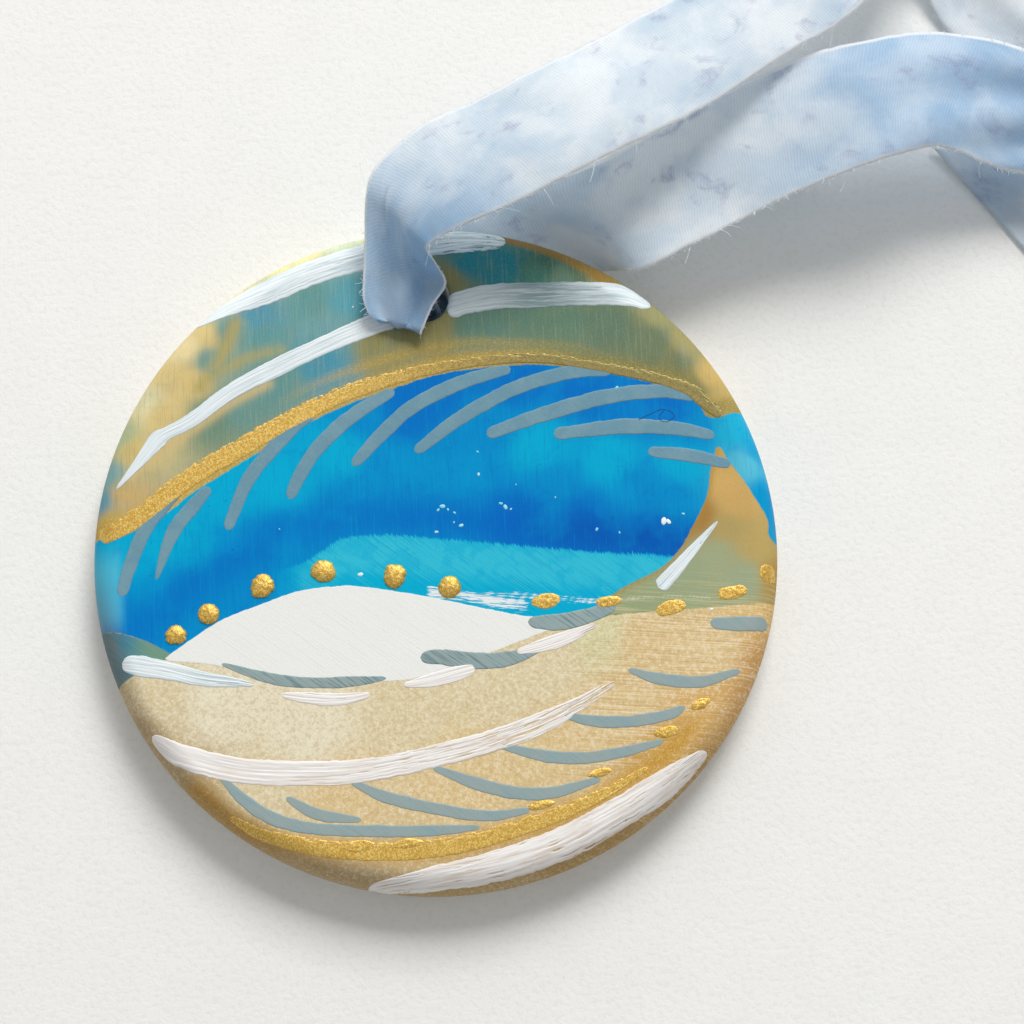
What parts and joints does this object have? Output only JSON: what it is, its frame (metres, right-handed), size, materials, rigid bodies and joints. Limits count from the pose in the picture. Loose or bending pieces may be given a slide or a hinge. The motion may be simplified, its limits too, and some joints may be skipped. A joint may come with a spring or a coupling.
{
  "type": "disc christmas ornament with ribbon loop",
  "caption": "Round flat ceramic ornament with a hand-painted wave pattern, raised gold dots and a knotted silk ribbon loop through a hole near its edge.",
  "frame": {"origin": "centre of the round disc, on the table it lies on", "axes": "+Z out of the painted face, +Y from the disc's centre to the hanging hole, +X to the right of the upright ornament"},
  "size_m": [0.142, 0.1234, 0.0155],
  "materials": {
    "bisque_ceramic": "unglazed ivory ceramic, lightly sanded",
    "base_paint": "satin acrylic paint in blue, teal, sage and sand",
    "grey_paint": "satin blue-grey acrylic brush strokes",
    "gold_paint": "metallic gold acrylic paint with a fine glitter grain",
    "white_paint": "thick white acrylic with brush marks",
    "gold_dot_paint": "raised metallic gold paint",
    "silk": "hand-dyed pale blue silk with a fine diagonal rib and torn edges"
  },
  "bodies": {
    "disc": {"ceramic_disc": "bisque_ceramic", "painted_base_coat": "base_paint", "grey_strokes": "grey_paint", "gold_bands": "gold_paint", "white_strokes": "white_paint", "gold_dots": "gold_dot_paint"},
    "ribbon": {"ribbon_loop": "silk", "ribbon_knot": "silk", "ribbon_tail_short": "silk", "ribbon_tail_long": "silk"}
  },
  "joints": [
    {"name": "ribbon_swing", "type": "hinge", "parent": "disc", "child": "ribbon", "pos_m": [0, 0.0294, 0.003], "axis": [0, 0, 1], "range_deg": [0, 110]}
  ]
}
